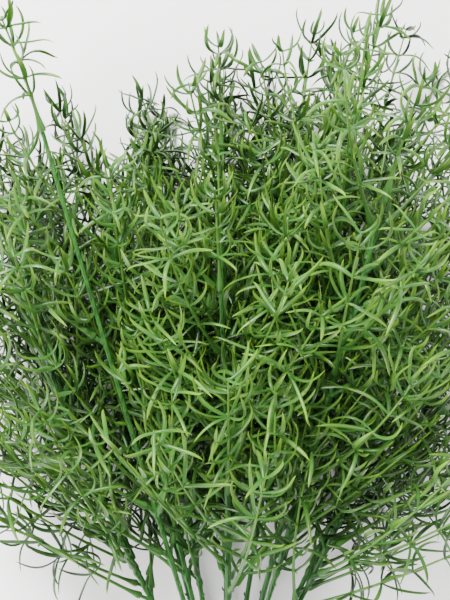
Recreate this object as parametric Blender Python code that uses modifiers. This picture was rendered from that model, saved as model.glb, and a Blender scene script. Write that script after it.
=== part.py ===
"""A bunch of moulded asparagus fern lying on its side, in metres, with +Z up.

Stems fan out from one short stalk towards +Y. Sprigs of narrow leaves are pushed on the stems'
tips and on the short pegs along their sides. Everything stays above the surface at z = 0.
"""
import math
import random

import bmesh
import bpy
import numpy as np
from mathutils import Matrix, Vector

# The stalk
STALK_LENGTH = 0.036
STALK_RADIUS = 0.0105
STALK_CUT_RADIUS = 0.0090
STALK_EDGE = 0.0012
STALK_SIDES = 32

# The stems: one in the middle, a ring around it, and an outer ring
RING_COUNTS = (1, 5, 10)
RING_RADII = (0.0, 0.0042, 0.0082)
RING_TURNS = (0.0, math.radians(18), math.radians(18))
STEM_LENGTH = 0.245
STEM_SHARES = (
    (1.27,),
    (1.30, 1.04, 1.14, 1.06, 1.28),
    (0.98, 1.24, 1.02, 1.36, 1.04, 1.14, 1.18, 1.20, 1.33, 1.08),
)
STEM_RADIUS = 0.0015
STEM_TIP_RADIUS = 0.0010
STEM_STEP = 0.024
STEM_SIDES = 6
FAN_ANGLE = math.radians(22)
FAN_START, FAN_END = 1.38, 0.72
RISE_MIDDLE = math.radians(11.5)
RISE_ANGLE = math.radians(9.5)
BOW_ANGLE = math.radians(9)
BOW_START = 0.4

# The pegs on a stem, and the joint they stand on
PEG_SEATS = ((0.60,), (0.50,), (0.38, 0.68))
PEG_LENGTH = 0.0065
PEG_RADIUS = 0.0009
PEG_ELBOW = 0.55
JOINT_LENGTH = 0.0026

# The sprigs
SIDE_TURN = math.radians(52)
SPRIG_OPENING = math.radians(40)
SPRIG_CURL = math.radians(24)
SPRIG_CURLS = (0.3, 1.2)
TIP_CURL_SHARE = 0.4
SPRIG_ROLL = math.radians(35)
SIDE_SIZES = (0.82, 1.20)
TIP_SIZES = (0.44, 0.64)
SPRIG_DIP = 0.012
SPRIG_TURNS = (0.0, 0.35, -0.35, 0.7, -0.7, 1.05, -1.05, 1.4, -1.4, 1.8, -1.8, 2.3, -2.3, 2.8)
SOCKET_LENGTH = 0.010
SOCKET_RADIUS = 0.0020
RIB_RADIUS = 0.0009
RIB_TIP_RADIUS = 0.00045
RIB_SIDES = 4
NODE_COUNT = 5
NODE_STEP = 0.0160
NODE_LENGTH = 0.0015
TAIL_LENGTH = 0.008

# The leaves
LEAF_LENGTH = 0.0255
LEAF_WIDTH = 0.0019
LEAF_THICKNESS = 0.0011
LEAF_OPENING = math.radians(74)
LEAF_CURL = math.radians(58)
LEAF_TILT = math.radians(24)
LEAF_SHARES = (0.30, 0.68, 1.0)
LEAF_TAPER = (1.0, 0.85, 0.1)
LEAF_SIZES = (0.82, 1.20)
TIP_LEAF_SHARE = 0.72
LEAF_CURLS = (0.9, 1.9)
ARCHED_SHARE = 0.28
ARCHED_CURL = -0.7
LEAF_TURNS = (0.0, 0.4, -0.4, 0.75, -0.75)
LEAF_CUTS = (1.0, 0.8, 0.6)

# Clearances
GAP = 0.0003
CLEARANCE = 0.0006
BALL_STEP = 0.0014
OWN_REACH = 0.0045
SHARP_ANGLE = math.radians(35)
SEED = 7


class Room:
    """The lines grown so far, kept as balls, so that a new line can stay clear of them."""

    def __init__(self):
        self.centres = np.zeros((0, 3))
        self.radii = np.zeros(0)
        self.owners = np.zeros(0, dtype=int)

    def balls(self, points, radii):
        """Centres, radii and distances from the start, close enough to stand for the line."""
        centres, sizes, reach = [], [], []
        run = 0.0
        for start, end, first, last in zip(points, points[1:], radii, radii[1:]):
            length = (end - start).length
            count = max(1, math.ceil(length / BALL_STEP))
            for share in np.arange(count) / count:
                centres.append(start.lerp(end, share))
                sizes.append(first + (last - first) * share)
                reach.append(run + length * share)
            run += length
        centres.append(points[-1])
        sizes.append(radii[-1])
        reach.append(run)
        return np.array(centres), np.array(sizes), np.array(reach)

    def clear(self, points, radii, owner, own_reach):
        """Whether a line is clear of all others, and past own_reach of its owner's own lines."""
        centres, sizes, reach = self.balls(points, radii)
        margin = sizes.max() + SOCKET_RADIUS + CLEARANCE
        low, high = centres.min(axis=0) - margin, centres.max(axis=0) + margin
        near = np.all((self.centres > low) & (self.centres < high), axis=1)
        apart = np.linalg.norm(centres[:, None] - self.centres[near][None], axis=2)
        need = sizes[:, None] + self.radii[near][None] + CLEARANCE
        own = (self.owners[near][None] == owner) & (reach[:, None] < own_reach)
        return bool(np.all((apart >= need) | own))

    def add(self, points, radii, owner):
        centres, sizes, _ = self.balls(points, radii)
        self.centres = np.vstack([self.centres, centres])
        self.radii = np.concatenate([self.radii, sizes])
        self.owners = np.concatenate([self.owners, np.full(len(centres), owner)])


def towards(fan, rise):
    """The unit vector that leans by fan from +Y to +X and rises by rise."""
    return Vector((math.sin(fan) * math.cos(rise), math.cos(fan) * math.cos(rise), math.sin(rise)))


def above(point, height):
    """The point, lifted to lie on the surface where it would pass through it."""
    return Vector((point.x, point.y, max(point.z, height)))


def turned(vector, axis, angle):
    return Matrix.Rotation(angle, 3, axis) @ vector


def frames(points, side):
    """Each point with its side and up axes, twisted no more than the line needs."""
    result = []
    for index, point in enumerate(points):
        before = points[max(index - 1, 0)]
        after = points[min(index + 1, len(points) - 1)]
        tangent = (after - before).normalized()
        side = (side - side.dot(tangent) * tangent).normalized()
        result.append((point, side, tangent.cross(side)))
    return result


def grow_stem(fan, rise, root, length, bow):
    """A stem's line, splayed most at its root, which bows sideways past its lower part."""
    count = round(length / STEM_STEP)
    points = [root]
    for index in range(count):
        share = (index + 0.5) / count
        splay = fan * (FAN_START + (FAN_END - FAN_START) * share)
        ahead = towards(splay + bow * (share - BOW_START), rise)
        points.append(above(points[-1] + ahead * (length / count), STEM_RADIUS + GAP))
    return points


def at_share(line, share):
    """The point at a share of a line's steps, and the line's direction there."""
    place = share * (len(line) - 1)
    index = min(int(place), len(line) - 2)
    return line[index].lerp(line[index + 1], place - index), (line[index + 1] - line[index]).normalized()


def grow_rib(start, ahead, bend_axis, curl, size):
    """A sprig's rib: socket foot, socket top, then a point before and after each node."""
    steps = [SOCKET_LENGTH]
    steps += [NODE_STEP * size - NODE_LENGTH, NODE_LENGTH] * NODE_COUNT
    steps.append(TAIL_LENGTH * size)
    points = [start]
    total = sum(steps)
    run = 0.0
    for step in steps:
        run += step / 2
        points.append(points[-1] + turned(ahead, bend_axis, curl * run / total) * step)
        run += step / 2
    return points


def rib_radii():
    """The rib's radius at each of its points."""
    radii = [SOCKET_RADIUS, RIB_RADIUS]
    for index in range(NODE_COUNT):
        radius = RIB_RADIUS + (RIB_TIP_RADIUS - RIB_RADIUS) * index / NODE_COUNT
        radii += [radius, radius]
    return radii + [RIB_TIP_RADIUS]


def grow_leaf(node, tangent, side, tilt, curl, length):
    """A leaf's line: out of the rib to one side, then curling along it or back."""
    out = turned(side, tangent, tilt)
    axis = tangent.cross(out).normalized()
    points = [node]
    run = 0.0
    for share in LEAF_SHARES:
        middle = (run + share) / 2
        angle = math.pi / 2 - LEAF_OPENING + curl * middle
        ahead = turned(out, axis, -angle)
        points.append(points[-1] + ahead * length * (share - run))
        run = share
    return [points[0]] + [above(point, LEAF_WIDTH / 2) for point in points[1:]]


def leaf_radii():
    return [LEAF_WIDTH / 2] * len(LEAF_SHARES) + [LEAF_WIDTH / 4]


def place_leaf(room, draw, owner, centre, side, tangent, scale):
    """The first clear place for a leaf: its own tilt, then further round, then shorter."""
    tilt = draw.uniform(-1, 1) * LEAF_TILT
    curl = LEAF_CURL * draw.uniform(*LEAF_CURLS)
    if draw.random() < ARCHED_SHARE:
        curl *= ARCHED_CURL
    length = LEAF_LENGTH * draw.uniform(*LEAF_SIZES) * scale
    for cut in LEAF_CUTS:
        for turn in LEAF_TURNS:
            line = grow_leaf(centre, tangent, side, tilt + turn, curl, length * cut)
            if room.clear(line, leaf_radii(), owner, OWN_REACH):
                return line
    return None


def sprig_places(draw, start, ahead, outwards, at_tip, size):
    """A sprig's possible places, best first: its foot, heading, bend axis and rib line."""
    curl = SPRIG_CURL * draw.uniform(*SPRIG_CURLS)
    for turn in SPRIG_TURNS:
        away = turned(outwards, ahead, turn)
        bend_axis = ahead.cross(away).normalized()
        if at_tip:
            foot, heading, bend = start, ahead, curl * TIP_CURL_SHARE
        else:
            heading = turned(ahead, bend_axis, SPRIG_OPENING)
            foot, bend = start + heading * PEG_LENGTH, -curl
        line = grow_rib(foot + heading * GAP, heading, bend_axis, bend, size)
        if line[1].z >= SOCKET_RADIUS and line[-1].z >= -SPRIG_DIP:
            line = line[:2] + [above(point, RIB_RADIUS + GAP) for point in line[2:]]
            yield away, foot, bend_axis, line


def grow_sprig(room, draw, owner, stem_owner, start, ahead, outwards, at_tip):
    """A sprig's rib and leaves, turned about its stem until it is clear of what has grown."""
    radii = rib_radii()
    size = draw.uniform(*(TIP_SIZES if at_tip else SIDE_SIZES))
    for away, foot, bend_axis, line in sprig_places(draw, start, ahead, outwards, at_tip, size):
        if room.clear(line, radii, stem_owner, SOCKET_LENGTH / 2):
            break
    else:
        return None
    room.add(line, radii, owner)
    side = turned(bend_axis, ahead, draw.uniform(-1, 1) * SPRIG_ROLL)
    places = frames(line, side)
    scale = TIP_LEAF_SHARE if at_tip else 1.0
    leaves = []
    for node in range(NODE_COUNT):
        first = 2 + 2 * node
        tangent = (line[first + 1] - line[first]).normalized()
        centre = (line[first] + line[first + 1]) / 2
        for sign in (1, -1):
            leaf = place_leaf(room, draw, owner, centre, places[first][1] * sign, tangent, scale)
            if leaf:
                room.add(leaf, leaf_radii(), owner)
                leaves.append((centre, tangent, leaf))
    return {"line": line, "side": side, "leaves": leaves, "away": away, "foot": foot}


def draw_out(mesh, face, outline, stations, keep_start=False):
    """Extrudes a face through stations, each a centre, two axes and the half sizes along them."""
    for number, (centre, first, second, half_first, half_second) in enumerate(stations):
        grown = bmesh.ops.extrude_face_region(mesh, geom=[face])["geom"]
        if number or not keep_start:
            mesh.faces.remove(face)
        face = next(item for item in grown if isinstance(item, bmesh.types.BMFace))
        for vert, (across, up) in zip(face.verts, outline):
            vert.co = centre + first * across * half_first + second * up * half_second
    return face


def tube(mesh, places, radii, sides, start_axes=None):
    """A closed tube through places, with a flat to each side; returns its side faces."""
    centre, side, up = places[0]
    if start_axes:
        side, up = start_axes
    ring = bmesh.ops.create_circle(mesh, cap_ends=True, radius=1.0, segments=sides)["verts"]
    face = ring[0].link_faces[0]
    turn = math.pi / sides
    outline = []
    for vert in face.verts:
        angle = math.atan2(vert.co.y, vert.co.x) + turn
        outline.append((math.cos(angle), math.sin(angle)))
    for vert, (across, along) in zip(face.verts, outline):
        vert.co = centre + (side * across + up * along) * radii[0]
    stations = [(point, s, u, radius, radius) for (point, s, u), radius in zip(places[1:], radii[1:])]
    end = draw_out(mesh, face, outline, stations, keep_start=True)
    bmesh.ops.recalc_face_normals(mesh, faces=mesh.faces)
    return [side for side in mesh.faces if side not in (face, end)]


def take_side(sides, point, normal, reach):
    """Takes from sides the face beside point that looks most along normal."""
    beside = [face for face in sides if (face.calc_center_median() - point).length < reach]
    face = max(beside, key=lambda face: face.normal.dot(normal))
    sides.remove(face)
    return face


def branch(mesh, face, points, along, halves):
    """Draws a side face out along points; halves gives the two half sizes at each."""
    centre = face.calc_center_median()
    across = face.normal.cross(along).normalized()
    along = across.cross(face.normal)
    corners = [vert.co - centre for vert in face.verts]
    outline = [(math.copysign(1, c.dot(across)), math.copysign(1, c.dot(along))) for c in corners]
    places = frames([centre] + points, across)[1:]
    stations = []
    for (point, side, up), (half_side, half_up) in zip(places, halves):
        stations.append((point, side, -up, half_side, half_up))
    return draw_out(mesh, face, outline, stations)


def finish(mesh, name, material, collection):
    """Keeps the mesh above the surface, closes it and makes it an object."""
    for vert in mesh.verts:
        vert.co.z = max(vert.co.z, 0.0)
    bmesh.ops.recalc_face_normals(mesh, faces=mesh.faces)
    data = bpy.data.meshes.new(name)
    mesh.to_mesh(data)
    mesh.free()
    data.shade_smooth()
    data.set_sharp_from_angle(angle=SHARP_ANGLE)
    data.materials.append(material)
    part = bpy.data.objects.new(name, data)
    collection.objects.link(part)
    return part


def build_leaf(mesh, sides, centre, tangent, leaf):
    """One leaf, drawn out of one of the rib's side faces and closed to a point."""
    out = (leaf[1] - leaf[0]).normalized()
    out = (out - out.dot(tangent) * tangent).normalized()
    face = take_side(sides, centre, out, RIB_RADIUS)
    half_width, half_thick = LEAF_WIDTH / 2, LEAF_THICKNESS / 2
    halves = [(half_width * taper, half_thick * taper) for taper in LEAF_TAPER]
    tip = branch(mesh, face, leaf[1:], tangent, halves)
    bmesh.ops.pointmerge(mesh, verts=tip.verts, merge_co=leaf[-1])


def build_sprig(name, sprig, material, collection):
    """One sprig: socket, rib and leaves in one piece."""
    mesh = bmesh.new()
    line = sprig["line"]
    sides = tube(mesh, frames(line, sprig["side"]), rib_radii(), RIB_SIDES)
    for centre, tangent, leaf in sprig["leaves"]:
        build_leaf(mesh, sides, centre, tangent, leaf)
    return finish(mesh, name, material, collection)


def plastic(name, colour, roughness):
    material = bpy.data.materials.new(name)
    material.use_nodes = True
    shader = material.node_tree.nodes["Principled BSDF"]
    shader.inputs["Base Color"].default_value = (*colour, 1.0)
    shader.inputs["Roughness"].default_value = roughness
    shader.inputs["Metallic"].default_value = 0.0
    return material


def build_stalk(material, collection):
    """The short stalk: a turned bar with eased edges, lying along +Y."""
    profile = bmesh.new()
    outline = [(0.0, STALK_LENGTH), (STALK_RADIUS, STALK_LENGTH), (STALK_CUT_RADIUS, 0.0), (0.0, 0.0)]
    verts = [profile.verts.new((x, 0.0, z)) for x, z in outline]
    for first, second in zip(verts, verts[1:]):
        profile.edges.new((first, second))
    data = bpy.data.meshes.new("stalk")
    profile.to_mesh(data)
    profile.free()
    data.materials.append(material)
    stalk = bpy.data.objects.new("stalk", data)
    collection.objects.link(stalk)
    stalk.rotation_euler = (math.radians(-90), 0.0, 0.0)
    stalk.location = (0.0, 0.0, STALK_RADIUS)
    screw = stalk.modifiers.new("turned", "SCREW")
    screw.steps = screw.render_steps = STALK_SIDES
    screw.use_merge_vertices = True
    screw.merge_threshold = 0.00001
    bevel = stalk.modifiers.new("eased_edges", "BEVEL")
    bevel.width = STALK_EDGE
    bevel.segments = 2
    return stalk


def build_stem(name, stem, material, collection):
    """One stem: a tapering tube with a peg for each side sprig."""
    line, seats = stem["line"], stem["seats"]
    length = sum((b - a).length for a, b in zip(line, line[1:]))
    half_joint = JOINT_LENGTH / 2 / length
    shares = [index / (len(line) - 1) for index in range(len(line))]
    shares = [s for s in shares if all(abs(s - seat["share"]) > 3 * half_joint for seat in seats)]
    for seat in seats:
        shares += [seat["share"] - half_joint, seat["share"] + half_joint]
    shares.sort()
    points = [at_share(line, share)[0] for share in shares]
    radii = [STEM_RADIUS + (STEM_TIP_RADIUS - STEM_RADIUS) * share for share in shares]
    mesh = bmesh.new()
    across, down = Vector((1, 0, 0)), Vector((0, 0, -1))
    sides = tube(mesh, frames(points, across), radii, STEM_SIDES, (across, down))
    for seat in seats:
        build_peg(mesh, sides, seat)
    return finish(mesh, name, material, collection)


def build_peg(mesh, sides, seat):
    """One peg, drawn out of the stem's joint towards its sprig's socket."""
    centre, foot = seat["centre"], seat["foot"]
    face = take_side(sides, centre, seat["away"], STEM_RADIUS * 1.1)
    elbow = centre.lerp(foot, PEG_ELBOW) + seat["away"] * PEG_RADIUS / 2
    branch(mesh, face, [elbow, foot], seat["ahead"], [(PEG_RADIUS, PEG_RADIUS)] * 2)


def plan_stems():
    """Every stem's line, ring by ring from the middle out."""
    stems = []
    for ring, count in enumerate(RING_COUNTS):
        spread = RING_RADII[ring] / RING_RADII[-1]
        for index in range(count):
            draw = random.Random(SEED * 1000 + ring * 100 + index)
            turn = RING_TURNS[ring] + 2 * math.pi * index / count
            across, up = math.cos(turn), math.sin(turn)
            radius = RING_RADII[ring]
            root = Vector((radius * across, STALK_LENGTH + GAP, STALK_RADIUS + radius * up))
            fan = FAN_ANGLE * spread * across
            rise = RISE_MIDDLE + RISE_ANGLE * spread * up
            length = STEM_LENGTH * STEM_SHARES[ring][index]
            line = grow_stem(fan, rise, root, length, draw.uniform(-1, 1) * BOW_ANGLE)
            outwards = Vector((across, 0.0, up)) if ring else Vector((0.0, 0.0, 1.0))
            stems.append({"name": f"{('middle', 'inner', 'outer')[ring]}_{index + 1}", "ring": ring,
                          "line": line, "outwards": outwards, "seats": []})
    return stems


def plan_sprigs(room, stems):
    """Every sprig's lines: the tips first, then the side sprigs seat by seat."""
    sprigs = []
    for owner, stem in enumerate(stems):
        room.add(stem["line"], [STEM_RADIUS] * len(stem["line"]), owner)
    for owner, stem in enumerate(stems):
        draw = random.Random(SEED * 5000 + owner)
        tip, ahead = at_share(stem["line"], 1.0)
        sprig = grow_sprig(room, draw, 100 + owner, owner, tip, ahead, stem["outwards"], True)
        if sprig:
            sprigs.append((f"sprig_{stem['name']}_tip", sprig))
    for owner, stem in enumerate(stems):
        for number, share in enumerate(PEG_SEATS[stem["ring"]]):
            draw = random.Random(SEED * 9000 + owner * 10 + number)
            centre, ahead = at_share(stem["line"], share)
            outwards = turned(stem["outwards"], ahead, SIDE_TURN if (number + owner) % 2 else -SIDE_TURN)
            sprig = grow_sprig(room, draw, 200 + owner * 10 + number, owner, centre, ahead, outwards, False)
            if not sprig:
                continue
            stem["seats"].append({"share": share, "centre": centre, "ahead": ahead, "away": sprig["away"],
                                  "foot": sprig["foot"]})
            sprigs.append((f"sprig_{stem['name']}_side_{number + 1}", sprig))
    return sprigs


def centre_on_origin(parts):
    """Moves the whole bunch so that the middle of its underside is the origin."""
    bpy.context.view_layer.update()
    depsgraph = bpy.context.evaluated_depsgraph_get()
    corners = []
    for part in parts:
        shape = part.evaluated_get(depsgraph)
        corners += [shape.matrix_world @ Vector(corner) for corner in shape.bound_box]
    low = [min(corner[axis] for corner in corners) for axis in range(3)]
    high = [max(corner[axis] for corner in corners) for axis in range(3)]
    bunch = bpy.data.objects.new("bunch", None)
    parts[0].users_collection[0].objects.link(bunch)
    for part in parts:
        part.parent = bunch
    bunch.location = (-(low[0] + high[0]) / 2, -(low[1] + high[1]) / 2, -low[2])


def build():
    for old in list(bpy.data.objects):
        bpy.data.objects.remove(old)
    collection = bpy.data.collections.new("asparagus_fern_bunch")
    bpy.context.scene.collection.children.link(collection)
    stem_plastic = plastic("stem_plastic", (0.045, 0.190, 0.055), 0.45)
    leaf_plastic = plastic("leaf_plastic", (0.130, 0.310, 0.045), 0.42)
    room = Room()
    stems = plan_stems()
    sprigs = plan_sprigs(room, stems)
    parts = [build_stalk(stem_plastic, collection)]
    for stem in stems:
        parts.append(build_stem(f"stem_{stem['name']}", stem, stem_plastic, collection))
    for name, sprig in sprigs:
        parts.append(build_sprig(name, sprig, leaf_plastic, collection))
    centre_on_origin(parts)


build()
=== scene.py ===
import math
import random

import bpy
import numpy as np
from mathutils import Matrix, Vector


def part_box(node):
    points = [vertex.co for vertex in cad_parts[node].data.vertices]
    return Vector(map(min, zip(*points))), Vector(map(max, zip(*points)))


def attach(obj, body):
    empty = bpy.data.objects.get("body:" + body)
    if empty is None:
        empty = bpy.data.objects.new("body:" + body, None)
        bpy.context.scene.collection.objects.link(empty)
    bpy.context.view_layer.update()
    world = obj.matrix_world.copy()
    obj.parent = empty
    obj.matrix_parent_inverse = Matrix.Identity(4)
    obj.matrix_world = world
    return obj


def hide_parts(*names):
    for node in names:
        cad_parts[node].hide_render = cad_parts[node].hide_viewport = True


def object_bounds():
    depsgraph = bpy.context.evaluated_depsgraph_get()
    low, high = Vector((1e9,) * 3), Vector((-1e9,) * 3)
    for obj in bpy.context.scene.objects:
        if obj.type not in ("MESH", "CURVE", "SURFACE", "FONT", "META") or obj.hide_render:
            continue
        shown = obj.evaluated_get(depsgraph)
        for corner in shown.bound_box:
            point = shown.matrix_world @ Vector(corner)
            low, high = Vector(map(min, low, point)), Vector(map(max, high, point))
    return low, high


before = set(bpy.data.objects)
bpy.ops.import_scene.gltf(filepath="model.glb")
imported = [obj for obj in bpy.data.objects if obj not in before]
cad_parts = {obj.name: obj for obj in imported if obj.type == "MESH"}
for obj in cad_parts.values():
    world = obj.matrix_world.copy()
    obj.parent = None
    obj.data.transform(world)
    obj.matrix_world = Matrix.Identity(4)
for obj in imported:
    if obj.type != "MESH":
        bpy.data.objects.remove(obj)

cad_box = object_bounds()

# ---------------------------------------------------------------------------
# The stalk
# One short moulded polyethylene stalk that all the stems run into. Shallow
# lobes, one to each outer stem, fade out towards its plain cut end.
# ---------------------------------------------------------------------------
stalk_low, stalk_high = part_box("stalk")
# Home is the middle of the cut end, brought down to the surface that the bunch lies on.
home = Vector(((stalk_low.x + stalk_high.x) / 2, stalk_low.y, 0.0))
stalk_length = stalk_high.y - stalk_low.y
stalk_radius = (stalk_high.x - stalk_low.x) / 2
stalk_cut_share, stalk_edge = 0.86, 0.0012
stalk_lobes, stalk_lobe_corners, stalk_lobe_depth = 10, 8, 0.07
stalk_rings, stalk_tone = 13, 0.3


def linear(code):
    """A hex colour as the linear numbers that a shader takes."""
    shares = [int(code[i:i + 2], 16) / 255 for i in (1, 3, 5)]
    channels = [s / 12.92 if s <= 0.04045 else ((s + 0.055) / 1.055) ** 2.4 for s in shares]
    return (*channels, 1.0)


def add(tree, kind, inputs, **settings):
    """Adds a node. An input takes a value, or another node's output."""
    node = tree.nodes.new(kind)
    for name, value in settings.items():
        setattr(node, name, value)
    for name, value in inputs.items():
        if isinstance(value, bpy.types.NodeSocket):
            tree.links.new(value, node.inputs[name])
        else:
            node.inputs[name].default_value = value
    return node


def skin(rings):
    """Vertices and faces of a closed tube through rings of equally many points."""
    sides = len(rings[0])
    verts = np.concatenate(rings)
    faces = []
    for ring in range(len(rings) - 1):
        for side in range(sides):
            beside = (side + 1) % sides
            here, above_it = ring * sides, (ring + 1) * sides
            faces.append((here + side, here + beside, above_it + beside, above_it + side))
    last = (len(rings) - 1) * sides
    faces.append(tuple(range(sides - 1, -1, -1)))
    faces.append(tuple(range(last, last + sides)))
    return verts, faces


sharp_angle = math.radians(62)


class Shape:
    """The closed bodies that make one moulded piece, with a tone and a tip share at each point."""

    def __init__(self):
        self.verts, self.faces, self.tips, self.tones = [], [], [], []
        self.count = 0

    def take(self, rings, tips, tone):
        """Adds the closed body through the rings, with a tip share for each ring and one tone."""
        verts, faces = skin(rings)
        self.verts.append(verts)
        self.faces += [tuple(index + self.count for index in face) for face in faces]
        self.tips.append(np.repeat(tips, len(rings[0])))
        self.tones.append(np.full(len(verts), tone))
        self.count += len(verts)

    def make(self, name, material):
        """The finished piece, smooth but for its real edges."""
        data = bpy.data.meshes.new(name)
        data.from_pydata(np.concatenate(self.verts).tolist(), [], self.faces)
        for label, values in (("tip", self.tips), ("tone", self.tones)):
            layer = data.attributes.new(label, "FLOAT", "POINT")
            layer.data.foreach_set("value", np.concatenate(values).astype(np.float32))
        data.shade_smooth()
        data.set_sharp_from_angle(angle=sharp_angle)
        data.materials.append(material)
        piece = bpy.data.objects.new(name, data)
        bpy.context.scene.collection.objects.link(piece)
        return piece


drift_mm = 10.0


def moulded_polyethylene(name, root_hex, tip_hex, deep_hex, roughness, grain_mm, stretch, painted_hollow_shade, bump_mm):
    """Moulded polyethylene: waxy, with soft broad highlights and the skin of the mould, drawn out
    along the bunch by the stretch. Painted shade darkens the skin's hollows, the low parts of its
    bump, towards the deep colour. The colour runs from root to tip and drifts deeper. The skin's
    real grain of about 0.1 mm is drawn coarser, to show."""
    material = bpy.data.materials.new(name)
    material.use_nodes = True
    tree = material.node_tree
    tree.nodes.clear()
    place = add(tree, "ShaderNodeTexCoord", {}).outputs["Object"]
    tip = add(tree, "ShaderNodeAttribute", {}, attribute_name="tip").outputs["Fac"]
    tone = add(tree, "ShaderNodeAttribute", {}, attribute_name="tone").outputs["Fac"]
    along = add(tree, "ShaderNodeMix", {0: tip, 6: linear(root_hex), 7: linear(tip_hex)}, data_type="RGBA")
    drift = add(tree, "ShaderNodeTexNoise", {"Vector": place, "Scale": 1000 / drift_mm, "Detail": 2.0})
    # The tone mixes the colour towards the deep one: tone by chance, and for leaves low in the bunch
    # painted shade too.
    deepening = add(tree, "ShaderNodeMath", {0: tone, 1: drift.outputs["Fac"]}, operation="MULTIPLY")
    colour = add(tree, "ShaderNodeMix", {0: deepening.outputs[0], 6: along.outputs[2], 7: linear(deep_hex)},
                 data_type="RGBA")
    drawn = add(tree, "ShaderNodeMapping", {"Vector": place, "Scale": (1.0, 1 / stretch, 1.0)})
    grain = add(tree, "ShaderNodeTexNoise", {"Vector": drawn.outputs["Vector"], "Scale": 1000 / grain_mm,
                                             "Detail": 3.0})
    # Painted shade: where the grain is low, in the hollows of its bump, the colour is mixed towards the
    # deep colour.
    hollow_shading = add(tree, "ShaderNodeMapRange", {"Value": grain.outputs["Fac"], "From Min": 0.38,
                                              "From Max": 0.58, "To Min": painted_hollow_shade, "To Max": 0.0})
    hollow_shaded_colour = add(tree, "ShaderNodeMix", {0: hollow_shading.outputs["Result"], 6: colour.outputs[2],
                                           7: linear(deep_hex)}, data_type="RGBA")
    gloss = add(tree, "ShaderNodeMapRange", {"Value": grain.outputs["Fac"],
                                             "To Min": roughness - 0.10, "To Max": roughness + 0.10})
    bump = add(tree, "ShaderNodeBump", {"Height": grain.outputs["Fac"], "Strength": 0.5,
                                        "Distance": bump_mm / 1000})
    shader = add(tree, "ShaderNodeBsdfPrincipled",
                 {"Base Color": hollow_shaded_colour.outputs[2], "Roughness": gloss.outputs["Result"],
                  "Normal": bump.outputs["Normal"], "Specular IOR Level": 0.26})
    add(tree, "ShaderNodeOutputMaterial", {"Surface": shader.outputs["BSDF"]})
    return material


stem_polyethylene = moulded_polyethylene("stem polyethylene, moulded", "#2b5d24", "#3e772b", "#163614",
                                         roughness=0.42, grain_mm=1.3, stretch=12.0, painted_hollow_shade=0.75,
                                         bump_mm=0.55)


def build_stalk():
    """Rings along the stalk, with a softened edge and a flat face at both ends."""
    rings = []
    corners = stalk_lobes * stalk_lobe_corners
    for share in np.linspace(0, 1, stalk_rings):
        radius = stalk_radius * (stalk_cut_share + (1 - stalk_cut_share) * share)
        depth = stalk_lobe_depth * share
        ring = []
        for angle in np.arange(corners) / corners * 2 * math.pi:
            reach = radius * (1 - depth * (0.5 + 0.5 * math.cos(stalk_lobes * angle)))
            ring.append((home.x + reach * math.cos(angle), home.y + stalk_length * share,
                         max(stalk_radius + reach * math.sin(angle), 0.0)))
        rings.append(np.array(ring))
    for end, step in ((0, 1), (-1, -1)):
        middle = rings[end].mean(axis=0)
        inner = middle + (rings[end] - middle) * (1 - stalk_edge / stalk_radius)
        rings[end][:, 1] += step * stalk_edge
        rings.insert(0 if end == 0 else len(rings), inner)
    shape = Shape()
    rings = rings[::-1]
    shape.take(rings, np.zeros(len(rings)), stalk_tone)
    return shape.make("moulded_stalk", stem_polyethylene)


stalk = build_stalk()
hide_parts("stalk")
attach(stalk, "root")

# ---------------------------------------------------------------------------
# The stems
# Thin tapering polyethylene stems, moulded with lengthwise ridges, a small ring
# and scale at each joint, and a short peg where a side sprig is pushed on.
# ---------------------------------------------------------------------------
seed = 7
gap = 0.0003
ring_counts = (1, 5, 10)
ring_radii = (0.0, 0.0042, 0.0082)
ring_turn = math.radians(18)
ring_names = ("middle", "inner", "outer")
stem_length = 0.245
stem_shares = (
    (1.27,),
    (1.30, 1.04, 1.14, 1.06, 1.28),
    (0.98, 1.24, 1.02, 1.36, 1.04, 1.14, 1.18, 1.20, 1.33, 1.08),
)
stem_radius, stem_tip_radius, stem_step = 0.0015, 0.0010, 0.024
fan_angle, rise_middle, rise_angle = math.radians(22), math.radians(11.5), math.radians(9.5)
fan_start, fan_end = 1.38, 0.72
bow_angle, bow_start = math.radians(9), 0.4
joint_step, joint_length = 0.021, 0.0026
stem_sides, ridge_depth, steps_per_span = 14, 0.15, 12
foot_depth, foot_flare, foot_flare_length = 0.002, 0.25, 0.006
joint_swell, seat_swell = 0.14, 0.30
scale_radii, scale_rise, scale_length = (0.0007, 0.0006, 0.00015), 0.0008, 0.0024
peg_radii, peg_inside = (0.0013, 0.00125, 0.0010, 0.0009), 0.002
# How deep a stem's colour may be, and how much of the tip's colour its end has.
stem_tones, stem_paling = (0.2, 0.9), 0.7


def towards(fan, rise):
    """The direction fanned from the bunch's length and risen from the surface."""
    return Vector((math.sin(fan) * math.cos(rise), math.cos(fan) * math.cos(rise), math.sin(rise)))


def above(point, height):
    """The point, lifted to lie on the surface where it would pass through it."""
    return Vector((point.x, point.y, max(point.z, height)))


def turned(vector, axis, angle):
    """The vector, turned about an axis."""
    return Matrix.Rotation(angle, 3, axis) @ vector


def grow_stem(fan, rise, root, length, bow):
    """A stem's line: it leaves the stalk at a wide fan, turns in along the bunch and bows a little."""
    count = round(length / stem_step)
    points = [root]
    for index in range(count):
        share = (index + 0.5) / count
        splay = fan * (fan_start + (fan_end - fan_start) * share)
        ahead = towards(splay + bow * (share - bow_start), rise)
        points.append(above(points[-1] + ahead * (length / count), stem_radius + gap))
    return points


def at_share(line, share):
    """The point at a share of a line's steps, and the line's direction there."""
    place = share * (len(line) - 1)
    index = min(int(place), len(line) - 2)
    return line[index].lerp(line[index + 1], place - index), (line[index + 1] - line[index]).normalized()


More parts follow.
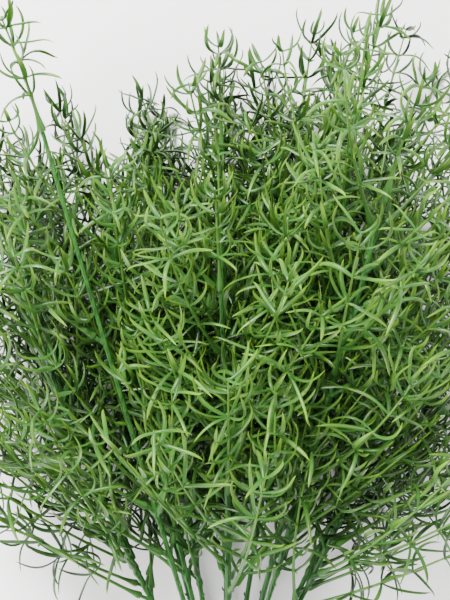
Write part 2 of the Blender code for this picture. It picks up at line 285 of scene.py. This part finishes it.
def plan_stems():
    """One stem in the middle, a ring of five round it and a ring of ten round those."""
    stems = []
    for ring, count in enumerate(ring_counts):
        spread = ring_radii[ring] / ring_radii[-1]
        for index in range(count):
            draw = random.Random(seed * 1000 + ring * 100 + index)
            turn = (ring_turn if ring else 0.0) + 2 * math.pi * index / count
            across, up = math.cos(turn), math.sin(turn)
            root = home + Vector((ring_radii[ring] * across, stalk_length + gap,
                                  stalk_radius + ring_radii[ring] * up))
            line = grow_stem(fan_angle * spread * across, rise_middle + rise_angle * spread * up, root,
                             stem_length * stem_shares[ring][index], draw.uniform(-1, 1) * bow_angle)
            outwards = Vector((across, 0.0, up)) if ring else Vector((0.0, 0.0, 1.0))
            stems.append({"name": f"{ring_names[ring]}_{index + 1}", "ring": ring, "line": line,
                          "outwards": outwards, "seats": []})
    return stems


def smooth(points, per_span):
    """A curve through points, as an array with per_span steps between two of them."""
    known = np.array([tuple(point) for point in points])
    ends = np.vstack([2 * known[0] - known[1], known, 2 * known[-1] - known[-2]])
    result = []
    for a, b, c, d in zip(ends, ends[1:], ends[2:], ends[3:]):
        for t in np.arange(per_span) / per_span:
            result.append(0.5 * (2 * b + (c - a) * t + (2 * a - 5 * b + 4 * c - d) * t * t
                                 + (3 * b - a - 3 * c + d) * t ** 3))
    return np.array(result + [known[-1]])


def axes_along(points, side):
    """Side and up axes at each point of a curve, twisted no more than it needs."""
    tangents = np.gradient(points, axis=0)
    tangents /= np.linalg.norm(tangents, axis=1)[:, None]
    sides, ups = [], []
    side = np.array(side, dtype=float)
    for tangent in tangents:
        side = side - side.dot(tangent) * tangent
        side /= np.linalg.norm(side)
        sides.append(side)
        ups.append(np.cross(tangent, side))
    return np.array(sides), np.array(ups)


def run_length(points):
    """The length along a curve up to each of its points."""
    return np.concatenate([[0.0], np.cumsum(np.linalg.norm(np.diff(points, axis=0), axis=1))])


def round_rings(points, radii, sides, ridge=0.0, side=(1.0, 0.0, 0.0)):
    """Rings of a tube along points, every other corner sunk by the ridge share."""
    across, up = axes_along(points, side)
    angles = np.arange(sides) / sides * 2 * math.pi
    reach = np.where(np.arange(sides) % 2, 1 - ridge, 1.0)
    rings = []
    for centre, a, b, radius in zip(points, across, up, radii):
        corners = np.outer(np.cos(angles) * reach, a) + np.outer(np.sin(angles) * reach, b)
        ring = centre + corners * radius
        ring[:, 2] = np.maximum(ring[:, 2], 0.0)
        rings.append(ring)
    return rings


def swelling(run, middle, length):
    """1 at middle, falling to 0 half a length away."""
    return np.clip(1 - np.abs(run - middle) / (length / 2), 0, 1)


def build_stem(stem):
    """The ridged stem with its joints, scales and pegs."""
    draw = random.Random("stem " + stem["name"])
    points = smooth(stem["line"], steps_per_span)
    points[0] -= np.array((0.0, foot_depth, 0.0))
    run = run_length(points)
    radii = stem_radius + (stem_tip_radius - stem_radius) * run / run[-1]
    radii = radii * (1 + foot_flare * np.exp(-run / foot_flare_length))
    joints = np.arange(joint_step, run[-1] - joint_length, joint_step)
    for joint in joints:
        radii = radii * (1 + joint_swell * swelling(run, joint, joint_length * 2))
    for seat in stem["seats"]:
        radii = radii * (1 + seat_swell * swelling(run, seat["share"] * run[-1], joint_length * 2.5))
    shape = Shape()
    tone = draw.uniform(*stem_tones)
    shape.take(round_rings(points, radii, stem_sides, ridge_depth), run / run[-1] * stem_paling, tone)
    for joint in joints:
        index = int(np.searchsorted(run, joint))
        add_scale(shape, draw, points, index, radii[index], tone)
    for seat in stem["seats"]:
        add_peg(shape, seat, tone)
    return shape.make(f"ridged_stem_{stem['name']}", stem_polyethylene)


def add_scale(shape, draw, points, index, radius, tone):
    """The small pointed scale pressed against the stem at a joint."""
    ahead = points[index + 1] - points[index]
    ahead /= np.linalg.norm(ahead)
    away = np.cross(ahead, (draw.uniform(-1, 1), draw.uniform(-1, 1), draw.uniform(-1, 1)))
    away /= np.linalg.norm(away)
    start = points[index] + away * radius * 0.5
    stations = [start, start + away * radius * 0.8 + ahead * scale_rise,
                start + away * radius * 1.1 + ahead * scale_length]
    rings = round_rings(np.array(stations), scale_radii, sides=6, side=ahead)
    shape.take(rings, np.array([0.2, 0.4, 0.9]), tone)


def add_peg(shape, seat, tone):
    """The short peg that carries a side sprig, from the stem into the sprig's socket."""
    centre, foot = np.array(seat["centre"]), np.array(seat["foot"])
    heading = (foot - centre) / np.linalg.norm(foot - centre)
    stations = [centre, centre + (foot - centre) * 0.3, centre + (foot - centre) * 0.6,
                foot + heading * peg_inside]
    rings = round_rings(np.array(stations), peg_radii, sides=10)
    shape.take(rings, np.array([0.2, 0.3, 0.4, 0.4]), tone)


# ---------------------------------------------------------------------------
# The sprigs
# Each sprig is one polyethylene moulding: a conical socket, a thin rib, and
# narrow grooved leaves that leave the rib in pairs and curl along it.
# ---------------------------------------------------------------------------
peg_seats = ((0.60,), (0.50,), (0.38, 0.68))
peg_length = 0.0065
side_turn = math.radians(52)
sprig_opening, sprig_curl, sprig_roll = math.radians(40), math.radians(24), math.radians(35)
sprig_curls, tip_curl_share, sprig_dip = (0.3, 1.2), 0.4, 0.012
sprig_turns = (0.0, 0.35, -0.35, 0.7, -0.7, 1.05, -1.05, 1.4, -1.4, 1.8, -1.8, 2.3, -2.3, 2.8)
side_sizes, tip_sizes = (0.82, 1.20), (0.44, 0.64)
socket_length, socket_radius = 0.010, 0.0020
rib_radius, rib_tip_radius = 0.0009, 0.00045
node_count, node_step, node_length, tail_length = 5, 0.0160, 0.0015, 0.008
leaf_length, leaf_width, leaf_thickness = 0.0255, 0.0019, 0.0011
leaf_opening, leaf_curl, leaf_tilt = math.radians(74), math.radians(58), math.radians(24)
leaf_shares, leaf_sizes, leaf_curls = (0.30, 0.68, 1.0), (0.82, 1.20), (0.9, 1.9)
tip_leaf_share = 0.72
arched_share, arched_curl = 0.28, -0.7
leaf_turns, leaf_cuts = (0.0, 0.4, -0.4, 0.75, -0.75), (1.0, 0.8, 0.6)
clearance, ball_step, own_reach = 0.0006, 0.0014, 0.0045


class Room:
    """The lines grown so far, kept as balls, so that a new line can stay clear of them."""

    def __init__(self):
        self.centres = np.zeros((0, 3))
        self.radii = np.zeros(0)
        self.owners = np.zeros(0, dtype=int)

    def balls(self, points, radii):
        """A line's balls: their centres, their radii and how far along it they lie."""
        centres, sizes, reach = [], [], []
        run = 0.0
        for start, end, first, last in zip(points, points[1:], radii, radii[1:]):
            length = (end - start).length
            count = max(1, math.ceil(length / ball_step))
            for share in np.arange(count) / count:
                centres.append(start.lerp(end, share))
                sizes.append(first + (last - first) * share)
                reach.append(run + length * share)
            run += length
        centres.append(points[-1])
        sizes.append(radii[-1])
        reach.append(run)
        return np.array(centres), np.array(sizes), np.array(reach)

    def clear(self, points, radii, owner, exempt):
        """True if a line keeps the clearance, apart from its first stretch beside its owner."""
        centres, sizes, reach = self.balls(points, radii)
        margin = sizes.max() + socket_radius + clearance
        low, high = centres.min(axis=0) - margin, centres.max(axis=0) + margin
        near = np.all((self.centres > low) & (self.centres < high), axis=1)
        apart = np.linalg.norm(centres[:, None] - self.centres[near][None], axis=2)
        need = sizes[:, None] + self.radii[near][None] + clearance
        own = (self.owners[near][None] == owner) & (reach[:, None] < exempt)
        return bool(np.all((apart >= need) | own))

    def add(self, points, radii, owner):
        """Keeps a line's balls under its owner's number."""
        centres, sizes, _ = self.balls(points, radii)
        self.centres = np.vstack([self.centres, centres])
        self.radii = np.concatenate([self.radii, sizes])
        self.owners = np.concatenate([self.owners, np.full(len(centres), owner)])


def frames(points, side):
    """Each point of a line with its side and up axes."""
    result = []
    for index, point in enumerate(points):
        before = points[max(index - 1, 0)]
        after = points[min(index + 1, len(points) - 1)]
        tangent = (after - before).normalized()
        side = (side - side.dot(tangent) * tangent).normalized()
        result.append((point, side, tangent.cross(side)))
    return result


def grow_rib(start, ahead, bend_axis, curl, size):
    """Socket foot, socket top, then a point before and after each node, and the tail."""
    steps = [socket_length]
    steps += [node_step * size - node_length, node_length] * node_count
    steps.append(tail_length * size)
    points = [start]
    total = sum(steps)
    run = 0.0
    for step in steps:
        run += step / 2
        points.append(points[-1] + turned(ahead, bend_axis, curl * run / total) * step)
        run += step / 2
    return points


def rib_radii():
    """The radius at each point of grow_rib's line."""
    radii = [socket_radius, rib_radius]
    for index in range(node_count):
        radius = rib_radius + (rib_tip_radius - rib_radius) * index / node_count
        radii += [radius, radius]
    return radii + [rib_tip_radius]


def leaf_radii():
    """The radius at each point of a leaf's line."""
    return [leaf_width / 2] * len(leaf_shares) + [leaf_width / 4]


def grow_leaf(leaf, shares):
    """A leaf's line at shares of its length: out of the rib, then curling along it or back."""
    out = turned(leaf["side"], leaf["tangent"], leaf["tilt"])
    axis = leaf["tangent"].cross(out).normalized()
    points = [leaf["node"]]
    run = 0.0
    for share in shares:
        angle = math.pi / 2 - leaf_opening + leaf["curl"] * (run + share) / 2
        points.append(points[-1] + turned(out, axis, -angle) * leaf["length"] * (share - run))
        run = share
    return [points[0]] + [above(point, leaf_width / 2) for point in points[1:]], axis


def draw_leaf(draw, node, side, tangent, scale):
    """A leaf's shape by chance: how it tilts, which way it curls and how long it is."""
    tilt = draw.uniform(-1, 1) * leaf_tilt
    curl = leaf_curl * draw.uniform(*leaf_curls)
    if draw.random() < arched_share:
        curl *= arched_curl
    length = leaf_length * draw.uniform(*leaf_sizes) * scale
    return {"node": node, "side": side, "tangent": tangent, "tilt": tilt, "curl": curl, "length": length}


def place_leaf(room, draw, owner, node, side, tangent, scale):
    """The first clear place for a leaf: its own tilt, then further round, then shorter."""
    drawn = draw_leaf(draw, node, side, tangent, scale)
    for cut in leaf_cuts:
        for turn in leaf_turns:
            leaf = dict(drawn, tilt=drawn["tilt"] + turn, length=drawn["length"] * cut)
            line, _ = grow_leaf(leaf, leaf_shares)
            if room.clear(line, leaf_radii(), owner, own_reach):
                room.add(line, leaf_radii(), owner)
                return leaf
    return None


def sprig_places(draw, start, ahead, outwards, at_tip, size):
    """A sprig's possible places, best first: its foot, bend axis and rib line."""
    curl = sprig_curl * draw.uniform(*sprig_curls)
    for turn in sprig_turns:
        away = turned(outwards, ahead, turn)
        bend_axis = ahead.cross(away).normalized()
        if at_tip:
            foot, heading, bend = start, ahead, curl * tip_curl_share
        else:
            heading = turned(ahead, bend_axis, sprig_opening)
            foot, bend = start + heading * peg_length, -curl
        line = grow_rib(foot + heading * gap, heading, bend_axis, bend, size)
        if line[1].z >= socket_radius and line[-1].z >= -sprig_dip:
            line = line[:2] + [above(point, rib_radius + gap) for point in line[2:]]
            yield foot, bend_axis, line


def start_sprig(draw, owner, foot, bend_axis, ahead, line):
    """A sprig without leaves. Each node is its middle, its side axis and the rib's direction."""
    side = turned(bend_axis, ahead, draw.uniform(-1, 1) * sprig_roll)
    places = frames(line, side)
    nodes = []
    for first in range(2, 2 + 2 * node_count, 2):
        tangent = (line[first + 1] - line[first]).normalized()
        nodes.append(((line[first] + line[first + 1]) / 2, places[first][1], tangent))
    return {"owner": owner, "foot": foot, "line": line, "side": side, "nodes": nodes, "leaves": []}


def grow_sprig(room, draw, owner, stem_owner, start, ahead, outwards, at_tip):
    """A sprig's rib and first leaves, turned about its stem until it is clear."""
    radii = rib_radii()
    size = draw.uniform(*(tip_sizes if at_tip else side_sizes))
    for foot, bend_axis, line in sprig_places(draw, start, ahead, outwards, at_tip, size):
        if room.clear(line, radii, stem_owner, socket_length / 2):
            break
    else:
        return None
    room.add(line, radii, owner)
    sprig = start_sprig(draw, owner, foot, bend_axis, ahead, line)
    sprig["scale"] = tip_leaf_share if at_tip else 1.0
    for middle, side, tangent in sprig["nodes"]:
        for sign in (1, -1):
            leaf = place_leaf(room, draw, owner, middle, side * sign, tangent, sprig["scale"])
            if leaf:
                sprig["leaves"].append(leaf)
    return sprig


def plan_sprigs(room, stems):
    """The sprigs that the frame has: the stems' tips first, then the side sprigs."""
    sprigs = {}
    for owner, stem in enumerate(stems):
        room.add(stem["line"], [stem_radius] * len(stem["line"]), owner)
    for owner, stem in enumerate(stems):
        draw = random.Random(seed * 5000 + owner)
        tip, ahead = at_share(stem["line"], 1.0)
        sprigs[f"sprig_{stem['name']}_tip"] = grow_sprig(room, draw, 100 + owner, owner, tip, ahead,
                                                         stem["outwards"], True)
    for owner, stem in enumerate(stems):
        for number, share in enumerate(peg_seats[stem["ring"]]):
            draw = random.Random(seed * 9000 + owner * 10 + number)
            centre, ahead = at_share(stem["line"], share)
            outwards = turned(stem["outwards"], ahead, side_turn if (number + owner) % 2 else -side_turn)
            sprig = grow_sprig(room, draw, 200 + owner * 10 + number, owner, centre, ahead, outwards, False)
            if sprig:
                stem["seats"].append({"share": share, "centre": centre, "foot": sprig["foot"]})
                sprigs[f"sprig_{stem['name']}_side_{number + 1}"] = sprig
    return sprigs


# Lines are looked at in steps of this share of a cell. What lies over an open line is kept clear
# from this many cells above it, which spares its own leaves.
sample_share, over_start = 0.7, 3


class Bush:
    """The small cells of the bunch's box that foliage has already taken."""

    def __init__(self, low, high, cell):
        self.low, self.cell = np.array(low), cell
        self.taken = np.zeros(np.ceil((np.array(high) - self.low) / cell).astype(int), dtype=bool)

    def cells(self, points, from_start):
        """The cells that a line passes through, past its first stretch."""
        known = np.array([tuple(point) for point in points])
        run = run_length(known)
        at = np.arange(from_start, run[-1], self.cell * sample_share)
        dense = np.stack([np.interp(at, run, known[:, axis]) for axis in range(3)], axis=1)
        return np.floor((dense - self.low) / self.cell).astype(int)

    def free(self, points, from_start):
        """True if a line stays in the box and crosses no taken cell, past its first stretch."""
        cells = self.cells(points, from_start)
        if (cells < 0).any() or (cells >= self.taken.shape).any():
            return False
        return not self.taken[tuple(cells.T)].any()

    def fill(self, points):
        """Takes a line's cells and the cells beside them."""
        cells = self.cells(points, 0.0)
        for step in ((0, 0, 0), (1, 0, 0), (-1, 0, 0), (0, 1, 0), (0, -1, 0), (0, 0, 1), (0, 0, -1)):
            beside = np.clip(cells + np.array(step), 0, np.array(self.taken.shape) - 1)
            self.taken[tuple(beside.T)] = True

    def fill_over(self, points, reach):
        """Takes what is over a line and within reach cells of it, so that nothing crosses it."""
        for across, along, height in self.cells(points, 0.0):
            first = max(across - reach, 0), max(along - reach, 0)
            self.taken[first[0]:across + reach + 1, first[1]:along + reach + 1, height + over_start:] = True


# The further leaves of each node are turned about the rib from its sides, and three smaller
# leaves stand round the rib's end.
whorl_turns, whorl_chances = (0.75, -0.75, 1.57, -1.57), (0.55, 0.32, 0.12, 0.12)
whorl_tries = 5
end_leaf_turns, end_leaf_scale, end_leaf_inset = (0.2, 2.3, 4.4), 0.7, 0.001


def fill_whorls(bush, sprig):
    """The rest of a sprig's leaves, each where there is room for it, and its end leaves."""
    draw = random.Random(sprig["owner"] * 31)
    spots = []
    for middle, side, tangent in sprig["nodes"]:
        for sign in (1, -1):
            for turn, chance in zip(whorl_turns, whorl_chances):
                if draw.random() < chance:
                    spots.append((middle, turned(side * sign, tangent, turn), tangent, sprig["scale"]))
    end = sprig["line"][-1]
    tangent = (end - sprig["line"][-2]).normalized()
    for turn in end_leaf_turns:
        spots.append((end - tangent * end_leaf_inset, turned(sprig["side"], tangent, turn), tangent,
                      end_leaf_scale * sprig["scale"]))
    for middle, side, tangent, scale in spots:
        for _ in range(whorl_tries):
            leaf = loosened(draw_leaf(draw, middle, side, tangent, scale), draw)
            line, _ = grow_leaf(leaf, leaf_shares)
            if bush.free(line, own_reach):
                bush.fill(line)
                sprig["leaves"].append(leaf)
                break


# A leaf's section, as shares of half its width and of its depth: a groove above between two
# raised edges, and a keel below.
leaf_section = ((-1.0, 0.30), (-0.5, 0.42), (0.0, -0.05), (0.5, 0.42), (1.0, 0.30), (0.6, -0.55),
                (0.0, -1.0), (-0.6, -0.55))
leaf_steps = 9
leaf_breadths, leaf_wave, leaf_flick = (0.94, 1.24), 0.0026, 0.0026
leaf_twist, leaf_end_twist = 0.4, 0.8
loose_tilt, loose_arched_share, loose_curl = 1.5, 0.22, -0.8
# Painted shade: leaves that end lower in the bunch are painted deeper in colour and lose their pale
# tips, for the shade deep in the foliage: not at all at inner_start times this height above the surface,
# and fully one such height below that.
inner_height, inner_start = 0.105, 1.25
leaf_tones, painted_inner_shade, painted_shade_tip_loss = (0.0, 0.7), 1.15, 0.7
tip_onset = 2.4


def leaf_taper(share):
    """The leaf's width at a share of its length: narrow at the rib, full past its middle, then
    drawn to a blunt point."""
    return (0.60 + 0.40 * np.sin(np.pi / 2 * np.minimum(share / 0.5, 1.0))) * (1 - share ** 4) ** 0.7 + 0.04


def loosened(leaf, draw):
    """The same leaf, standing more askew and now and then curling back over the rib."""
    arched = draw.random() < loose_arched_share
    return dict(leaf, tilt=leaf["tilt"] * loose_tilt, curl=leaf["curl"] * (loose_curl if arched else 1.0))


def add_leaf(shape, draw, leaf):
    """One leaf: the section drawn along the leaf's line, twisted, waved and tapered."""
    shares = np.arange(1, leaf_steps + 1) / leaf_steps
    line, axis = grow_leaf(leaf, shares)
    points = np.array([tuple(point) for point in line])
    across, up = axes_along(points, tuple(axis))
    twist = (draw.uniform(-leaf_twist, leaf_twist)
             + draw.uniform(-leaf_end_twist, leaf_end_twist) * np.linspace(0, 1, len(points)))
    wave = draw.uniform(-1, 1) * leaf_wave
    flick = draw.uniform(-1, 1) * leaf_flick
    breadth = draw.uniform(*leaf_breadths) * leaf_width / 2
    share = np.arange(leaf_steps + 1)[:, None] / leaf_steps
    cosine, sine = np.cos(twist)[:, None], np.sin(twist)[:, None]
    wide, deep = across * cosine + up * sine, up * cosine - across * sine
    centres = points + across * wave * share ** 1.5 + up * flick * share * np.sin(5 * share)
    taper = leaf_taper(share)
    x, y = np.array(leaf_section).T
    rings = (centres[:, None] - wide[:, None] * (taper * breadth * x)[:, :, None]
             - deep[:, None] * (taper * leaf_thickness * 0.6 * y)[:, :, None])
    rings[:, :, 2] = np.maximum(rings[:, :, 2], 0.0)
    # Painted shade: the lower the leaf's end, the deeper its tone and the less of its pale tip it keeps.
    low_leaf_shade = min(max(inner_start - points[-1][2] / inner_height, 0.0), 1.0)
    shape.take(rings, np.linspace(0, 1, len(rings)) ** tip_onset * (1 - painted_shade_tip_loss * low_leaf_shade),
               draw.uniform(*leaf_tones) + painted_inner_shade * low_leaf_shade)


rib_steps, rib_sides, rib_ridge, rib_paling = 6, 12, 0.06, 0.5
node_swell, rib_tones = 0.45, (0.0, 0.5)


def add_rib(shape, sprig, tone):
    """The socket, with its rolled mouth, and the rib with a swelling at each node."""
    points = smooth(sprig["line"], rib_steps)
    run = run_length(points)
    radii = np.interp(run, [0, 0.0004, 0.0014, 0.003, socket_length * 0.7, socket_length, run[-1]],
                      [socket_radius * 0.9, socket_radius * 1.08, socket_radius * 1.02,
                       socket_radius * 0.86, rib_radius * 1.25, rib_radius, rib_tip_radius * 0.8])
    for middle, _, _ in sprig["nodes"]:
        nearest = run[np.argmin(np.linalg.norm(points - np.array(middle), axis=1))]
        radii = radii * (1 + node_swell * swelling(run, nearest, node_length * 2.4))
    rings = round_rings(points, radii, rib_sides, rib_ridge, tuple(sprig["side"]))
    shape.take(rings, np.clip(run / run[-1], 0, 1) * rib_paling, tone)


stub_counts = (0, 1, 2)
stub_lengths, stub_foot, stub_radii = (0.0012, 0.0026), 0.0012, (0.0006, 0.0006, 0.00025)


def add_stubs(shape, draw, sprig, tone):
    """The short blunt stubs that the mould leaves beside the leaves at a node."""
    for middle, side, tangent in sprig["nodes"]:
        for _ in range(draw.choice(stub_counts)):
            out = turned(side, tangent, draw.uniform(0, 2 * math.pi))
            start, out, length = np.array(middle), np.array(out), draw.uniform(*stub_lengths)
            stations = [start, start + out * stub_foot,
                        start + out * (stub_foot + length) + np.array(tangent) * length * 0.5]
            rings = round_rings(np.array(stations), stub_radii, sides=6, side=tuple(tangent))
            shape.take(rings, np.array([0.1, 0.3, 0.6]), tone)


def add_sprig(shape, sprig):
    """A whole sprig: rib, stubs and leaves."""
    draw = random.Random(sprig["owner"] * 17 + 5)
    tone = draw.uniform(*rib_tones)
    add_rib(shape, sprig, tone)
    add_stubs(shape, draw, sprig, tone)
    for leaf in sprig["leaves"]:
        add_leaf(shape, draw, leaf)


leaf_polyethylene = moulded_polyethylene("leaf polyethylene, moulded", "#366425", "#709729", "#0d220b",
                                         roughness=0.34, grain_mm=0.7, stretch=1.0, painted_hollow_shade=0.10,
                                         bump_mm=0.04)
room = Room()
stems = plan_stems()
frame_sprigs = plan_sprigs(room, stems)

# ---------------------------------------------------------------------------
# The filling sprigs
# More of the same polyethylene mouldings, pushed on pegs between the ones above
# in opposite pairs, close enough to hide the stems. One stem's are one piece.
# ---------------------------------------------------------------------------
cell = 0.0012
lower_filling_step, upper_filling_step = 0.0135, 0.029
first_filling_shares, last_filling_share = (0.28, 0.31), 0.95
# The steps between sprigs close up, and the sprigs and their leaves get smaller, along a stem.
filling_opening, filling_closing = 1.25, 0.55
filling_size, filling_size_fall, filling_leaf_scale = 1.20, 0.52, 1.62
filling_turn, filling_turn_drift = math.radians(100), 0.4
filling_foot_share = 0.4
side_tries = 6
# One long stem stays bare past its first sprigs, and some sprigs lie open on top of the rest.
bare_stem, bare_share, bare_reach = "outer_4", 0.40, 3
open_sprigs = ("sprig_outer_1_side_1", "sprig_outer_2_side_1", "sprig_outer_2_side_2",
               "sprig_outer_3_side_1", "sprig_inner_3_side_1", "sprig_outer_6_side_1")
open_reach = 1


def filling_places(stem):
    """The shares of a stem where pairs of sprigs stand, closer together towards its tip."""
    length = sum((b - a).length for a, b in zip(stem["line"], stem["line"][1:]))
    last = bare_share if stem["name"] == bare_stem else last_filling_share
    upper = max(stem["outwards"].z, 0.0)
    step = lower_filling_step + (upper_filling_step - lower_filling_step) * upper
    shares = [first_filling_shares[0] + (first_filling_shares[1] - first_filling_shares[0]) * upper]
    while shares[-1] < last:
        shares.append(shares[-1] + step / length * (filling_opening - filling_closing * shares[-1]))
    return shares[:-1]


def plan_filling(bush, stems):
    """Opposite pairs of sprigs up each stem, wherever their ribs find room."""
    filling = {}
    for owner, stem in enumerate(stems):
        filling[stem["name"]] = []
        for number, share in enumerate(filling_places(stem)):
            centre, ahead = at_share(stem["line"], share)
            for half in (0, 1):
                draw = random.Random(seed * 70000 + owner * 1000 + number * 2 + half)
                drift = draw.uniform(-filling_turn_drift, filling_turn_drift)
                outwards = turned(stem["outwards"], ahead, number * filling_turn + half * math.pi + drift)
                size = draw.uniform(*side_sizes) * (filling_size - filling_size_fall * share)
                for foot, _, line in sprig_places(draw, centre, ahead, outwards, False, size):
                    if bush.free(line, socket_length * filling_foot_share):
                        bush.fill(line)
                        level = ahead.cross(Vector((0.0, 0.0, 1.0))).normalized()
                        sprig_owner = 1000 + owner * 100 + number * 2 + half
                        sprig = start_sprig(draw, sprig_owner, foot, level, ahead, line)
                        sprig["scale"] = min(1.0, filling_leaf_scale - share)
                        stem["seats"].append({"share": share, "centre": centre, "foot": foot})
                        filling[stem["name"]].append(sprig)
                        break
    return filling


def fill_sides(bush, sprig):
    """A leaf at each side of each node, where there is room for it."""
    draw = random.Random(sprig["owner"] * 13)
    for middle, side, tangent in sprig["nodes"]:
        for sign in (1, -1):
            for _ in range(side_tries):
                leaf = loosened(draw_leaf(draw, middle, side * sign, tangent, sprig["scale"]), draw)
                line, _ = grow_leaf(leaf, leaf_shares)
                if bush.free(line, own_reach):
                    bush.fill(line)
                    sprig["leaves"].append(leaf)
                    break


bush = Bush(cad_box[0], cad_box[1], cell)
for stem in stems:
    bush.fill(stem["line"])
    if stem["name"] == bare_stem:
        bush.fill_over(stem["line"], bare_reach)
for name, sprig in frame_sprigs.items():
    bush.fill(sprig["line"])
    if name in open_sprigs:
        bush.fill_over(sprig["line"], open_reach)
    for leaf in sprig["leaves"]:
        bush.fill(grow_leaf(leaf, leaf_shares)[0])
filling = plan_filling(bush, stems)
filling_sprigs = [sprig for group in filling.values() for sprig in group]
for sprig in filling_sprigs:
    fill_sides(bush, sprig)
for sprig in list(frame_sprigs.values()) + filling_sprigs:
    fill_whorls(bush, sprig)

# The pieces are made once every leaf has its place and every stem its pegs.
for name, sprig in frame_sprigs.items():
    shape = Shape()
    add_sprig(shape, sprig)
    piece = shape.make(f"leafy_{name}", leaf_polyethylene)
    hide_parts(name)
    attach(piece, "root")

for stem_name, group in filling.items():
    shape = Shape()
    for sprig in group:
        add_sprig(shape, sprig)
    piece = shape.make(f"filling_sprigs_{stem_name}", leaf_polyethylene)
    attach(piece, "root")

for stem in stems:
    piece = build_stem(stem)
    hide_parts(f"stem_{stem['name']}")
    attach(piece, "root")

# ---------------------------------------------------------------------------
# The surface, lights and camera
# A plain pale tabletop, a big soft light beyond the tips, weaker ones at the
# side and near the stalk, and a camera looking down on the bunch.
# ---------------------------------------------------------------------------
surface_size, surface_drop = 6.0, 0.0005
stipple_mm = 2.5
sky_strength = 0.27


def painted_board():
    """Matt white painted board: even and pale, with a faint roller texture."""
    material = bpy.data.materials.new("white paint, rolled")
    material.use_nodes = True
    tree = material.node_tree
    tree.nodes.clear()
    place = add(tree, "ShaderNodeTexCoord", {}).outputs["Object"]
    stipple = add(tree, "ShaderNodeTexNoise", {"Vector": place, "Scale": 1000 / stipple_mm, "Detail": 2.0})
    bump = add(tree, "ShaderNodeBump", {"Height": stipple.outputs["Fac"], "Strength": 0.1,
                                        "Distance": 0.0002})
    shader = add(tree, "ShaderNodeBsdfPrincipled", {"Base Color": linear("#f6f6f4"), "Roughness": 0.8,
                                                    "Normal": bump.outputs["Normal"]})
    add(tree, "ShaderNodeOutputMaterial", {"Surface": shader.outputs["BSDF"]})
    return material


bpy.ops.mesh.primitive_plane_add(size=surface_size, location=(0, 0, -surface_drop))
surface = bpy.context.object
surface.name = "surface"
surface.data.materials.append(painted_board())

world = bpy.data.worlds.new("studio")
world.use_nodes = True
sky = world.node_tree.nodes["Background"]
sky.inputs["Color"].default_value = linear("#ffffff")
sky.inputs["Strength"].default_value = sky_strength
bpy.context.scene.world = world


def soft_light(name, place, target, size, watts):
    """A square soft box turned to face its target."""
    lamp = bpy.data.lights.new(name, "AREA")
    lamp.size, lamp.energy = size, watts
    light = bpy.data.objects.new(name, lamp)
    light.location = place
    light.rotation_euler = (Vector(target) - Vector(place)).to_track_quat("-Z", "Y").to_euler()
    bpy.context.scene.collection.objects.link(light)


soft_light("key", (-0.60, 1.45, 1.45), (0, 0.05, 0.05), 0.75, 198)
soft_light("side", (1.0, 0.1, 0.7), (0, 0.0, 0.05), 0.5, 16)
soft_light("near", (-0.70, -0.58, 0.62), (-0.08, -0.09, 0.03), 0.5, 23)

camera_height = 0.58
view_middle = 0.265
view_length, view_depth = 0.300, 0.50
lens = bpy.data.cameras.new("camera")
lens.sensor_fit = "VERTICAL"
lens.sensor_height = 24.0
lens.lens = lens.sensor_height * view_depth / view_length
camera = bpy.data.objects.new("camera", lens)
camera.location = home + Vector((0.0, view_middle, camera_height))
bpy.context.scene.collection.objects.link(camera)
bpy.context.scene.camera = camera
